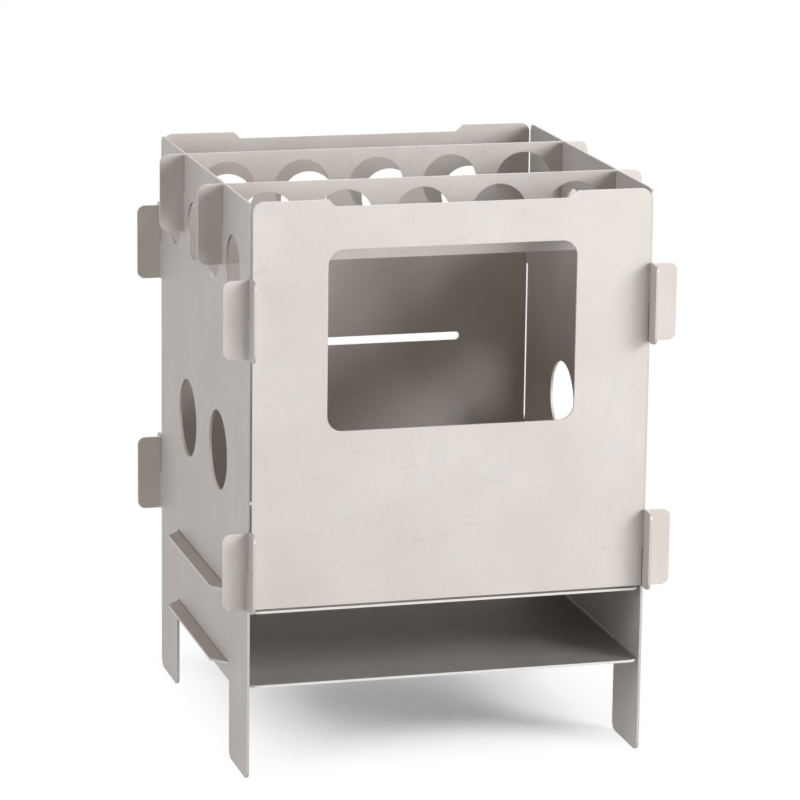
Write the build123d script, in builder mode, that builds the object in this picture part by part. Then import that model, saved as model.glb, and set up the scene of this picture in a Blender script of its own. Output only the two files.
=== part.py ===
# Pocket wood stove of flat sheet pieces that hold each other by slits, ears and tabs.
# The origin is on the ground at the middle of the legs: X runs to the right, Y to the rear, Z up.
from build123d import *
import os

# Sheet and outside size
sheet = 0.8
stove_width = 130.0
stove_depth = 130.0

# Clearances
wall_play = 0.3
slit_play = 0.5
bar_play = 0.4
tab_end_play = 0.8
tab_top_play = 0.3

# Front and rear panels
panel_bottom = 56.0
panel_height = 128.8
corner_rise = 2.2
top_gap_width = 80.0
panel_corner_radius = 3.0

# Feed window in the front panel
window_width = 80.2
window_height = 57.6
window_bottom = 111.7
window_corner_radius = 5.0

# Air slot in the rear panel
air_slot_length = 80.0
air_slot_height = 2.8
air_slot_level = 111.3

# Upper row of round holes in the rear and side panels
upper_hole_diameter = 19.0
upper_hole_pitch = 28.25
upper_hole_count = 4
upper_hole_level = 161.1

# Large air holes in the side panels
air_hole_diameter = 25.8
air_hole_pitch = 44.6
air_hole_level = 97.2

# Ears of the front and rear panels, which stand out past the side panels
ear_height = 24.8
ear_reach = 8.1
ear_pitch = 80.0
ear_corner_radius = 2.5

# Ears of the side panels, which stand out past the front and rear panels
side_ear_height = 25.6
side_ear_reach = 6.2

# Side panels and their legs
side_height = 184.5
side_corner_radius = 2.5
leg_width = 25.0
leg_gap_height = 25.2
leg_gap_radius = 1.0
leg_corner_radius = 3.0

# Crossbars, which carry the pot
bar_height = 25.6
bar_drop = 0.2
bar_reach = 8.1
bar_corner_radius = 3.0
bar_hole_diameter = 18.8
bar_hole_pitch = 25.3
bar_hole_count = 5
bar_hole_rise = 0.3
bar_mouth_radius = 1.2

# Fire grate and ash tray
grate_level = 55.0
tray_level = 30.9
plate_corner_radius = 3.0
plate_tab_root = 73.7
plate_tab_tip = 62.4
plate_tab_reach = 4.6
grate_hole_diameter = 8.0
grate_hole_pitch = 16.0
grate_hole_rows = 7

# Places that follow from the sizes above
half_width = stove_width / 2
half_depth = stove_depth / 2
panel_body_width = stove_width - 2 * (sheet + wall_play)
side_body_depth = stove_depth - 2 * (sheet + wall_play)
panel_top = panel_bottom + panel_height
lower_ear_middle = panel_bottom + ear_height / 2
ear_middles = [lower_ear_middle, lower_ear_middle + ear_pitch]
side_sheet_middle = half_width - sheet / 2
end_sheet_middle = half_depth - sheet / 2
slit_width = sheet + 2 * slit_play
bar_slit_width = sheet + 2 * bar_play
bar_top = side_height - bar_drop
bar_middle = bar_top - bar_height / 2
bar_place = upper_hole_pitch
plate_slot_length = plate_tab_root + 2 * tab_end_play


def ears(body_width, reach_half, height):
    """Two pairs of rounded ears on the upright edges of the open sketch."""
    ear_root = body_width / 2 - 2 * ear_corner_radius
    for middle in ear_middles:
        for side in (-1, 1):
            with Locations((side * (ear_root + reach_half) / 2, middle)):
                RectangleRounded(reach_half - ear_root, height, ear_corner_radius)


def ear_slits(body_width, sheet_middle, ear_half_height, open_side):
    """Half-height slits in the ears, open below (-1) or above (1), level with the body's edge."""
    slit_inner = body_width / 2
    slit_outer = sheet_middle + slit_width / 2
    for middle in ear_middles:
        for side in (-1, 1):
            with Locations((side * (slit_inner + slit_outer) / 2, middle + open_side * ear_half_height)):
                Rectangle(slit_outer - slit_inner, 2 * ear_half_height, mode=Mode.SUBTRACT)


def upper_holes():
    """The row of round holes near the top of the open sketch."""
    with Locations((0, upper_hole_level)):
        with GridLocations(upper_hole_pitch, upper_hole_pitch, upper_hole_count, 1):
            Circle(upper_hole_diameter / 2, mode=Mode.SUBTRACT)


def end_panel_outline(panel):
    """Outline shared by the front and rear panels: raised top corners, low middle, four ears."""
    with Locations((0, panel_bottom + panel_height / 2)):
        Rectangle(panel_body_width, panel_height)
    fillet(panel.vertices().group_by(Axis.Y)[-1], panel_corner_radius)
    Polygon(
        (-top_gap_width / 2, panel_top),
        (-top_gap_width / 2 + corner_rise, panel_top - corner_rise),
        (top_gap_width / 2 - corner_rise, panel_top - corner_rise),
        (top_gap_width / 2, panel_top),
        align=None,
        mode=Mode.SUBTRACT,
    )
    ears(panel_body_width, half_width + ear_reach, ear_height)
    ear_slits(panel_body_width, side_sheet_middle, ear_height / 2, -1)


def side_panel_outline(panel):
    """Outline of a side panel: legs, ears, holes, and the slots for the plates and crossbars."""
    with Locations((0, side_height / 2)):
        Rectangle(side_body_depth, side_height)
    with Locations((0, leg_gap_height / 2)):
        Rectangle(side_body_depth - 2 * leg_width, leg_gap_height, mode=Mode.SUBTRACT)
    fillet(panel.vertices().group_by(Axis.Y)[1], leg_gap_radius)
    fillet(panel.vertices().group_by(Axis.Y)[0], leg_corner_radius)
    for place in (-bar_place, bar_place):
        with Locations((place, (bar_middle + side_height) / 2)):
            Rectangle(bar_slit_width, side_height - bar_middle, mode=Mode.SUBTRACT)
    top_corners = panel.vertices().group_by(Axis.Y)[-1].sort_by(Axis.X)
    fillet([top_corners[0], top_corners[-1]], side_corner_radius)
    fillet(panel.vertices().group_by(Axis.Y)[-1].sort_by(Axis.X)[1:-1], bar_mouth_radius)
    ears(side_body_depth, half_depth + side_ear_reach, side_ear_height)
    ear_slits(side_body_depth, end_sheet_middle, side_ear_height / 2, 1)
    upper_holes()
    with Locations((0, air_hole_level)):
        with GridLocations(air_hole_pitch, air_hole_pitch, 2, 1):
            Circle(air_hole_diameter / 2, mode=Mode.SUBTRACT)
    for level in (grate_level, tray_level):
        with Locations((0, level + (tab_top_play - sheet) / 2)):
            Rectangle(plate_slot_length, sheet + tab_top_play, mode=Mode.SUBTRACT)


def crossbar_outline():
    """Outline of a crossbar: round holes, rounded ends, and a slit over each side panel."""
    with Locations((0, bar_middle)):
        RectangleRounded(2 * (half_width + bar_reach), bar_height, bar_corner_radius)
    with Locations((0, bar_middle + bar_hole_rise)):
        with GridLocations(bar_hole_pitch, bar_hole_pitch, bar_hole_count, 1):
            Circle(bar_hole_diameter / 2, mode=Mode.SUBTRACT)
    for side in (-1, 1):
        with Locations((side * side_sheet_middle, bar_middle - bar_height / 2)):
            Rectangle(bar_slit_width, bar_height, mode=Mode.SUBTRACT)


def plate_outline():
    """Outline of a plate between the side panels, with a tapered tab through each of them."""
    RectangleRounded(panel_body_width, side_body_depth, plate_corner_radius)
    for side in (-1, 1):
        Polygon(
            (side * (panel_body_width / 2 - sheet), -plate_tab_root / 2),
            (side * half_width, -plate_tab_root / 2),
            (side * (half_width + plate_tab_reach), -plate_tab_tip / 2),
            (side * (half_width + plate_tab_reach), plate_tab_tip / 2),
            (side * half_width, plate_tab_root / 2),
            (side * (panel_body_width / 2 - sheet), plate_tab_root / 2),
            align=None,
        )


# Front panel, with the window that takes the wood
with BuildPart() as front_panel:
    with BuildSketch(Plane.XZ.offset(half_depth)) as front_face:
        end_panel_outline(front_face)
        with Locations((0, window_bottom + window_height / 2)):
            RectangleRounded(window_width, window_height, window_corner_radius, mode=Mode.SUBTRACT)
    extrude(amount=-sheet)
front_panel.part.label = "front_panel"

# Rear panel, with its row of holes and its air slot
with BuildPart() as rear_panel:
    with BuildSketch(Plane.XZ.offset(-half_depth)) as rear_face:
        end_panel_outline(rear_face)
        upper_holes()
        with Locations((0, air_slot_level)):
            SlotOverall(air_slot_length, air_slot_height, mode=Mode.SUBTRACT)
    extrude(amount=sheet)
rear_panel.part.label = "rear_panel"

# Side panels, which are the legs too
with BuildPart() as left_side_panel:
    with BuildSketch(Plane.YZ.offset(-half_width)) as left_face:
        side_panel_outline(left_face)
    extrude(amount=sheet)
left_side_panel.part.label = "left_side_panel"

with BuildPart() as right_side_panel:
    with BuildSketch(Plane.YZ.offset(half_width)) as right_face:
        side_panel_outline(right_face)
    extrude(amount=-sheet)
right_side_panel.part.label = "right_side_panel"

# Crossbars, each centred on its slot
with BuildPart() as front_crossbar:
    with BuildSketch(Plane.XZ.offset(bar_place + sheet / 2)):
        crossbar_outline()
    extrude(amount=-sheet)
front_crossbar.part.label = "front_crossbar"

with BuildPart() as rear_crossbar:
    with BuildSketch(Plane.XZ.offset(-bar_place - sheet / 2)):
        crossbar_outline()
    extrude(amount=sheet)
rear_crossbar.part.label = "rear_crossbar"

# Fire grate, holed so that air comes up and ash falls through
with BuildPart() as fire_grate:
    with BuildSketch(Plane.XY.offset(grate_level - sheet)):
        plate_outline()
        with GridLocations(grate_hole_pitch, grate_hole_pitch, grate_hole_rows, grate_hole_rows):
            Circle(grate_hole_diameter / 2, mode=Mode.SUBTRACT)
    extrude(amount=sheet)
fire_grate.part.label = "fire_grate"

# Ash tray, a plain plate below the grate
with BuildPart() as ash_tray:
    with BuildSketch(Plane.XY.offset(tray_level - sheet)):
        plate_outline()
    extrude(amount=sheet)
ash_tray.part.label = "ash_tray"

pieces = [
    front_panel,
    rear_panel,
    left_side_panel,
    right_side_panel,
    front_crossbar,
    rear_crossbar,
    fire_grate,
    ash_tray,
]
os.makedirs("parts", exist_ok=True)
for piece in pieces:
    export_step(piece.part, f"parts/{piece.part.label}.step")
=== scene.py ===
# Pocket wood stove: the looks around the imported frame, in metres, X right, Y to the rear, Z up.
import math
from collections import namedtuple
import bpy
from mathutils import Matrix, Vector


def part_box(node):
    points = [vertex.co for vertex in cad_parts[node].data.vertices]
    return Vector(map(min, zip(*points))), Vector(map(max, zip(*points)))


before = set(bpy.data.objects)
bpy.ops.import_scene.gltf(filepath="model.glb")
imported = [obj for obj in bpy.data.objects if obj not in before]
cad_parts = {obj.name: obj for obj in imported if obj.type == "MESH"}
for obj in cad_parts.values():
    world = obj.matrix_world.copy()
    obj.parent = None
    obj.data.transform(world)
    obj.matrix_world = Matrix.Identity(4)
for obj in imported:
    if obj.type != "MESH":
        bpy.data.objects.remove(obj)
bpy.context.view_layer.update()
bpy.context.scene.view_settings.view_transform = "Standard"

# Camera of the photograph: angles in degrees, lens and sensor in millimetres
CAMERA_YAW = 15.5251
CAMERA_PITCH = 13.2052
CAMERA_ROLL = 0.7352
CAMERA_DISTANCE = 1.30547
CAMERA_AIM = Vector((0.0012506, 0.0, 0.1050314))
CAMERA_LENS = 179.035
CAMERA_SENSOR = 36.0
CAMERA_NEAR = 0.01
CAMERA_FAR = 50.0

# Axis that the flat faces of each piece look along
SHEET_AXES = {
    "front_panel": "Y",
    "rear_panel": "Y",
    "left_side_panel": "X",
    "right_side_panel": "X",
    "front_crossbar": "Y",
    "rear_crossbar": "Y",
    "fire_grate": "Z",
    "ash_tray": "Z",
}
AXES = {"X": (1.0, 0.0, 0.0), "Y": (0.0, 1.0, 0.0), "Z": (0.0, 0.0, 1.0)}

# Colours of the bead-blasted faces, and of the cut edges, which are lighter as bare metal and partly as
# a painted highlight along the rims, and darker on the side panels as painted shade
TITANIUM_LIGHT = (0.532, 0.482, 0.432)
TITANIUM_DARK = (0.494, 0.438, 0.386)
TITANIUM_COOL = (0.502, 0.467, 0.427)
TITANIUM_SHADE = (0.378, 0.334, 0.290)
CUT_EDGE_AND_HIGHLIGHT = (0.590, 0.555, 0.510)
SIDE_EDGE_PAINTED_SHADE = (0.440, 0.400, 0.355)
TITANIUM_METALLIC = 0.35

# Rounding of the tumbled cut edges, and the angle in degrees from which an edge is sharp
EDGE_ROUND = 0.00012
EDGE_SEGMENTS = 2
EDGE_ANGLE = 50.0

# How far apart two corners of the mesh may be and still be one, and how much the larger face leads the
# shading of a shared corner, where 50 is neutral and 100 the most
WELD_REACH = 0.000001
FACE_WEIGHT = 100

# How squarely a face looks along its piece's axis: from the first value on it is flat, below the
# second it is a cut edge
FLAT_FACE = 0.97
CUT_FACE = 0.80

# Fineness of the finish's patterns, in features per metre. A step is what each next piece adds, so that
# no two pieces look the same
CLOUD_SCALE = 38.0
CLOUD_STEP = 1.0
PATCH_SCALE = 170.0
PATCH_STEP = 7.0
STREAK_SCALE = 420.0
GRAIN_SCALE = 2600.0
PIT_SCALE = 5200.0
MARK_SCALE = 260.0
SCUFF_SCALE = 300.0

# Scale along the length of a streak, scuff or patch, against 1 across it: the less, the longer it is
STREAK_STRETCH = 0.03
SCUFF_STRETCH = 0.35
PATCH_STRETCH = 0.6

# Base tone: the noise goes from the dark titanium at the first value to the light one at the second
CLOUD_LOW = 0.35
CLOUD_HIGH = 0.65

# Layers over the base tone: a pattern's noise brings nothing at low and this share of the colour at high
Layer = namedtuple("Layer", "pattern low high share colour")
LAYERS = (
    Layer("patches", low=0.40, high=0.65, share=0.50, colour=TITANIUM_COOL),
    Layer("streaks", low=0.50, high=0.75, share=0.22, colour=TITANIUM_DARK),
    Layer("grain", low=0.35, high=0.70, share=0.20, colour=TITANIUM_SHADE),
    Layer("marks", low=0.70, high=0.80, share=0.30, colour=TITANIUM_SHADE),
    Layer("scuffs", low=0.66, high=0.76, share=0.28, colour=TITANIUM_SHADE),
)

# Roughness over the patches, how far the grain moves it up and down, and what a cut edge takes off
ROUGH_NOISE = (0.3, 0.7)
PATCH_ROUGHNESS = (0.53, 0.60)
GRAIN_ROUGHNESS = 0.05
EDGE_SMOOTHNESS = 0.10

# Dents of the blasting: shares of grain and pits, and the strength and depth of both together
GRAIN_DEPTH = 0.7
PIT_DEPTH = 0.3
BUMP_STRENGTH = 0.25
BUMP_DISTANCE = 0.00006

# Painted shade on the plates between the walls, where they lie in the shade of the grate and walls:
# share of the tone that is left, how far inside the walls the painted shade starts to fade, and the
# width of the fade
PLATE_PAINTED_SHADE = {"ash_tray": 0.58, "fire_grate": 0.75}
PAINTED_SHADE_INSET = 0.001
PAINTED_SHADE_FADE = 0.0008

# Lamps look at one point. They are a little cool, so that light that has gone between the sheets is
# the warmer one
LAMP_AIM = Vector((0.0, 0.0, 0.1))
KEY_COLOUR = (0.965, 1.0, 1.06)
FILL_COLOUR = (0.93, 1.0, 1.09)

# Faint light from all round, a little warm
WORLD_COLOUR = (1.0, 0.99, 0.98)
WORLD_STRENGTH = 0.01

# White that a camera or a reflection sees in the background
WHITE = (1.0, 1.0, 1.0)
WHITE_STRENGTH = 1.0

# Half the floor's width, its colour, and the glow that keeps its shadow pale where it is seen
FLOOR_HALF = 6.0
FLOOR_COLOUR = (0.90, 0.90, 0.905)
FLOOR_LIFT = 0.15

# The floor's shadow is whole under the middle of the stove and gone just outside its legs, in a box
# whose corners are rounded by the last value
SHADOW_MIDDLE = (0.008, 0.012, 0.0)
SHADOW_INNER = 0.022
SHADOW_OUTER = 0.078
SHADOW_CORNER = 0.03


class Graph:
    """Short calls that add shader nodes to one node tree."""

    def __init__(self, tree):
        self.tree = tree

    def add(self, kind, **settings):
        node = self.tree.nodes.new(kind)
        for key, value in settings.items():
            setattr(node, key, value)
        return node

    def join(self, source, socket):
        """Link an output to the socket, or set a plain value on it."""
        if isinstance(source, bpy.types.NodeSocket):
            self.tree.links.new(source, socket)
        else:
            socket.default_value = source

    def math(self, operation, first, second=0.0, third=0.0):
        node = self.add("ShaderNodeMath", operation=operation)
        for source, socket in zip((first, second, third), node.inputs):
            self.join(source, socket)
        return node.outputs["Value"]

    def vector(self, operation, first, second=(0.0, 0.0, 0.0), result="Vector"):
        node = self.add("ShaderNodeVectorMath", operation=operation)
        self.join(first, node.inputs[0])
        self.join(second, node.inputs[1])
        return node.outputs[result]

    def apart(self, vector):
        """Outputs X, Y and Z of a vector."""
        node = self.add("ShaderNodeSeparateXYZ")
        self.join(vector, node.inputs[0])
        return node.outputs

    def ramp(self, value, low, high, to_low=0.0, to_high=1.0, kind="LINEAR"):
        """The value's place between low and high, as a number between to_low and to_high."""
        node = self.add("ShaderNodeMapRange", interpolation_type=kind)
        self.join(value, node.inputs["Value"])
        limits = {"From Min": low, "From Max": high, "To Min": to_low, "To Max": to_high}
        for name, number in limits.items():
            self.join(number, node.inputs[name])
        return node.outputs["Result"]

    def grey(self, value):
        node = self.add("ShaderNodeCombineColor")
        for channel in node.inputs:
            self.join(value, channel)
        return node.outputs["Color"]

    def mix(self, factor, first, second, blend="MIX"):
        """Colours blended by the factor. A colour is an output or three numbers."""
        node = self.add("ShaderNodeMix", data_type="RGBA", blend_type=blend)
        self.join(factor, node.inputs["Factor"])
        sockets = [socket for socket in node.inputs if socket.type == "RGBA"]
        for colour, socket in zip((first, second), sockets):
            self.join((*colour, 1.0) if isinstance(colour, tuple) else colour, socket)
        return next(socket for socket in node.outputs if socket.type == "RGBA")

    def shine(self, kind, colour, strength):
        """Emission or Background of one colour."""
        node = self.add(kind)
        node.inputs["Color"].default_value = (*colour, 1.0)
        node.inputs["Strength"].default_value = strength
        return node.outputs[0]

    def mix_shaders(self, factor, first, second):
        node = self.add("ShaderNodeMixShader")
        for source, socket in zip((factor, first, second), node.inputs):
            self.join(source, socket)
        return node.outputs[0]


class SurfaceGraph(Graph):
    """The same for a material, with where a point of the object is and which way it looks."""

    def __init__(self, tree):
        super().__init__(tree)
        coordinates = self.add("ShaderNodeTexCoord")
        self.place = coordinates.outputs["Object"]
        self.facing = coordinates.outputs["Normal"]

    def noise(self, scale, detail, roughness, stretch=(1.0, 1.0, 1.0)):
        mapping = self.add("ShaderNodeMapping")
        self.join(self.place, mapping.inputs["Vector"])
        self.join(stretch, mapping.inputs["Scale"])
        node = self.add("ShaderNodeTexNoise")
        self.join(mapping.outputs["Vector"], node.inputs["Vector"])
        for name, number in (("Scale", scale), ("Detail", detail), ("Roughness", roughness)):
            self.join(number, node.inputs[name])
        return node.outputs["Fac"]


def add_camera():
    """Camera at the photograph's viewing angle, rolled as the photograph is."""
    yaw, pitch, roll = (math.radians(angle) for angle in (CAMERA_YAW, CAMERA_PITCH, CAMERA_ROLL))
    ahead = math.cos(pitch)
    forward = Vector((math.sin(yaw) * ahead, math.cos(yaw) * ahead, -math.sin(pitch)))
    level = Vector((math.cos(yaw), -math.sin(yaw), 0.0))
    upright = level.cross(forward)
    right = math.cos(roll) * level + math.sin(roll) * upright
    up = -math.sin(roll) * level + math.cos(roll) * upright
    data = bpy.data.cameras.new("photo_camera")
    data.sensor_width = CAMERA_SENSOR
    data.lens = CAMERA_LENS
    data.clip_start = CAMERA_NEAR
    data.clip_end = CAMERA_FAR
    camera = bpy.data.objects.new("photo_camera", data)
    bpy.context.scene.collection.objects.link(camera)
    turn = Matrix((right, up, -forward)).transposed().to_4x4()
    camera.matrix_world = Matrix.Translation(CAMERA_AIM - CAMERA_DISTANCE * forward) @ turn
    bpy.context.scene.camera = camera


def add_lamp(name, place, size, power, colour):
    """Rectangular soft lamp that looks at the stove."""
    data = bpy.data.lights.new(name, "AREA")
    data.shape = "RECTANGLE"
    data.size, data.size_y = size
    data.energy = power
    data.color = colour
    lamp = bpy.data.objects.new(name, data)
    bpy.context.scene.collection.objects.link(lamp)
    lamp.location = place
    lamp.rotation_euler = (LAMP_AIM - Vector(place)).to_track_quat("-Z", "Y").to_euler()


def shown_background(graph):
    """1 for camera, glossy and transmission rays, else 0."""
    path = graph.add("ShaderNodeLightPath").outputs
    shown = graph.math("MAXIMUM", path["Is Camera Ray"], path["Is Transmission Ray"])
    return graph.math("MAXIMUM", shown, path["Is Glossy Ray"])


def add_world():
    """Plain white where it is seen, and a faint light from all round where it isn't."""
    world = bpy.data.worlds.new("studio")
    bpy.context.scene.world = world
    world.use_nodes = True
    world.node_tree.nodes.clear()
    graph = Graph(world.node_tree)
    faint = graph.shine("ShaderNodeBackground", WORLD_COLOUR, WORLD_STRENGTH)
    white = graph.shine("ShaderNodeBackground", WHITE, WHITE_STRENGTH)
    output = graph.add("ShaderNodeOutputWorld").inputs["Surface"]
    graph.join(graph.mix_shaders(shown_background(graph), faint, white), output)


def beyond_shadow(graph):
    """0 under the middle of the stove and 1 beyond its shadow, with a soft change between."""
    outward = graph.vector("ABSOLUTE", graph.vector("SUBTRACT", graph.place, SHADOW_MIDDLE))
    sides = graph.apart(outward)
    distance = graph.math("SMOOTH_MAX", sides["X"], sides["Y"], SHADOW_CORNER)
    return graph.ramp(distance, SHADOW_INNER, SHADOW_OUTER, kind="SMOOTHSTEP")


def floor_white():
    """White that takes the stove's shadow near it, and is plain white further out."""
    material = bpy.data.materials.new("floor_white")
    material.use_nodes = True
    material.node_tree.nodes.clear()
    graph = SurfaceGraph(material.node_tree)
    diffuse = graph.add("ShaderNodeBsdfDiffuse")
    diffuse.inputs["Color"].default_value = (*FLOOR_COLOUR, 1.0)
    lit = graph.add("ShaderNodeAddShader")
    graph.join(diffuse.outputs[0], lit.inputs[0])
    graph.join(graph.shine("ShaderNodeEmission", WHITE, FLOOR_LIFT), lit.inputs[1])
    white = graph.shine("ShaderNodeEmission", WHITE, WHITE_STRENGTH)
    seen = graph.mix_shaders(beyond_shadow(graph), lit.outputs[0], white)
    output = graph.add("ShaderNodeOutputMaterial").inputs["Surface"]
    graph.join(graph.mix_shaders(shown_background(graph), diffuse.outputs[0], seen), output)
    return material


def add_floor():
    """Wide flat floor that the stove stands on."""
    mesh = bpy.data.meshes.new("floor")
    signs = ((-1, -1), (1, -1), (1, 1), (-1, 1))
    mesh.from_pydata([(x * FLOOR_HALF, y * FLOOR_HALF, 0.0) for x, y in signs], [], [(0, 1, 2, 3)])
    mesh.materials.append(floor_white())
    floor = bpy.data.objects.new("floor", mesh)
    bpy.context.scene.collection.objects.link(floor)


def sheet_patterns(graph, flat_axis, seed):
    """Noises of the finish, by name. Streaks run up the upright sheets, scuffs run level on them,
    and on the plates both run to the rear."""
    rolled = (1.0, STREAK_STRETCH, 1.0) if flat_axis == "Z" else (1.0, 1.0, STREAK_STRETCH)
    rubbed = (SCUFF_STRETCH, 1.0, 1.0) if flat_axis == "Y" else (1.0, SCUFF_STRETCH, 1.0)
    tall = (1.0, 1.0, PATCH_STRETCH)
    cloud_scale = CLOUD_SCALE + seed * CLOUD_STEP
    patch_scale = PATCH_SCALE + seed * PATCH_STEP
    return {
        "clouds": graph.noise(cloud_scale, detail=4.0, roughness=0.55),
        "patches": graph.noise(patch_scale, detail=3.0, roughness=0.6, stretch=tall),
        "streaks": graph.noise(STREAK_SCALE, detail=3.0, roughness=0.6, stretch=rolled),
        "grain": graph.noise(GRAIN_SCALE, detail=2.0, roughness=0.7),
        "pits": graph.noise(PIT_SCALE, detail=1.0, roughness=0.5),
        "marks": graph.noise(MARK_SCALE, detail=1.0, roughness=0.5),
        "scuffs": graph.noise(SCUFF_SCALE, detail=2.0, roughness=0.6, stretch=rubbed),
    }


def cut_edges(graph, flat_axis):
    """0 on the flat faces, 1 on the cut edges and their rounded rims."""
    along = graph.vector("DOT_PRODUCT", graph.facing, AXES[flat_axis], result="Value")
    return graph.ramp(graph.math("ABSOLUTE", along), FLAT_FACE, CUT_FACE)


def painted_plate_shade(graph, share):
    """Painted shade: this share of the tone between the walls, and 1 at the walls and outside them."""
    fade_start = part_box("right_side_panel")[0].x - PAINTED_SHADE_INSET
    from_middle = graph.math("ABSOLUTE", graph.apart(graph.place)["X"])
    return graph.ramp(from_middle, fade_start, fade_start + PAINTED_SHADE_FADE, share, 1.0)


def sheet_tone(graph, name, patterns, edge):
    """Colour of the faces, with painted shade on the plates between the walls, and of the cut edges,
    lighter as bare metal and as a painted highlight, and darker on the side panels as painted shade.
    """
    lightness = graph.ramp(patterns["clouds"], CLOUD_LOW, CLOUD_HIGH)
    tone = graph.mix(lightness, TITANIUM_DARK, TITANIUM_LIGHT)
    for layer in LAYERS:
        share = graph.ramp(patterns[layer.pattern], layer.low, layer.high, 0.0, layer.share)
        tone = graph.mix(share, tone, layer.colour)
    # Painted shade: the plates are darkened between the walls
    if name in PLATE_PAINTED_SHADE:
        tone = graph.mix(1.0, tone, graph.grey(painted_plate_shade(graph, PLATE_PAINTED_SHADE[name])), "MULTIPLY")
    # Cut edges are lighter as bare metal and partly as a painted highlight; on the side panels they are
    # darker as painted shade
    return graph.mix(edge, tone, SIDE_EDGE_PAINTED_SHADE if SHEET_AXES[name] == "X" else CUT_EDGE_AND_HIGHLIGHT)


def sheet_roughness(graph, patterns, edge):
    """Roughness that goes with the patches and the grain, and is less on the cut edges."""
    patches = graph.ramp(patterns["patches"], *ROUGH_NOISE, *PATCH_ROUGHNESS)
    grain = graph.ramp(patterns["grain"], *ROUGH_NOISE, -GRAIN_ROUGHNESS, GRAIN_ROUGHNESS)
    blasted = graph.math("ADD", grain, patches)
    return graph.math("SUBTRACT", blasted, graph.math("MULTIPLY", edge, EDGE_SMOOTHNESS))


def blasted_bump(graph, patterns):
    """Small dents that the blasting leaves."""
    grain = graph.math("MULTIPLY", patterns["grain"], GRAIN_DEPTH)
    pits = graph.math("MULTIPLY", patterns["pits"], PIT_DEPTH)
    bump = graph.add("ShaderNodeBump")
    bump.inputs["Strength"].default_value = BUMP_STRENGTH
    bump.inputs["Distance"].default_value = BUMP_DISTANCE
    graph.join(graph.math("ADD", grain, pits), bump.inputs["Height"])
    return bump.outputs["Normal"]


def titanium(name, seed):
    """Bead-blasted titanium sheet: fine grain, faint rolling streaks, soft marks, and cut edges lighter
    as bare metal and as a painted highlight, with painted shade on the side panels' edges.
    """
    material = bpy.data.materials.new("titanium_" + name)
    material.use_nodes = True
    graph = SurfaceGraph(material.node_tree)
    shader = material.node_tree.nodes["Principled BSDF"]
    patterns = sheet_patterns(graph, SHEET_AXES[name], seed)
    edge = cut_edges(graph, SHEET_AXES[name])
    graph.join(sheet_tone(graph, name, patterns, edge), shader.inputs["Base Color"])
    graph.join(sheet_roughness(graph, patterns, edge), shader.inputs["Roughness"])
    graph.join(blasted_bump(graph, patterns), shader.inputs["Normal"])
    shader.inputs["Metallic"].default_value = TITANIUM_METALLIC
    return material


def round_edges(node):
    """Join the mesh's split corners, round the cut edges, and shade the faces flat up to them."""
    weld = node.modifiers.new("edge_weld", "WELD")
    weld.merge_threshold = WELD_REACH
    bevel = node.modifiers.new("edge_round", "BEVEL")
    bevel.width = EDGE_ROUND
    bevel.segments = EDGE_SEGMENTS
    bevel.limit_method = "ANGLE"
    bevel.angle_limit = math.radians(EDGE_ANGLE)
    normals = node.modifiers.new("edge_normals", "WEIGHTED_NORMAL")
    normals.mode = "FACE_AREA"
    normals.weight = FACE_WEIGHT


add_camera()
add_world()
add_floor()
add_lamp("key_right", place=(1.5, -1.3, 0.9), size=(1.0, 1.0), power=48.0, colour=KEY_COLOUR)
add_lamp("key_low", place=(0.8, -2.1, 0.3), size=(1.0, 0.5), power=13.5, colour=KEY_COLOUR)
add_lamp("fill_left", place=(-1.8, -0.5, 0.7), size=(1.0, 1.0), power=18.5, colour=FILL_COLOUR)
add_lamp("fill_rear", place=(0.8, 1.6, 1.5), size=(1.0, 1.0), power=17.0, colour=KEY_COLOUR)

for seed, (name, node) in enumerate(sorted(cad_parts.items())):
    node.data.materials.clear()
    node.data.materials.append(titanium(name, seed))
    round_edges(node)
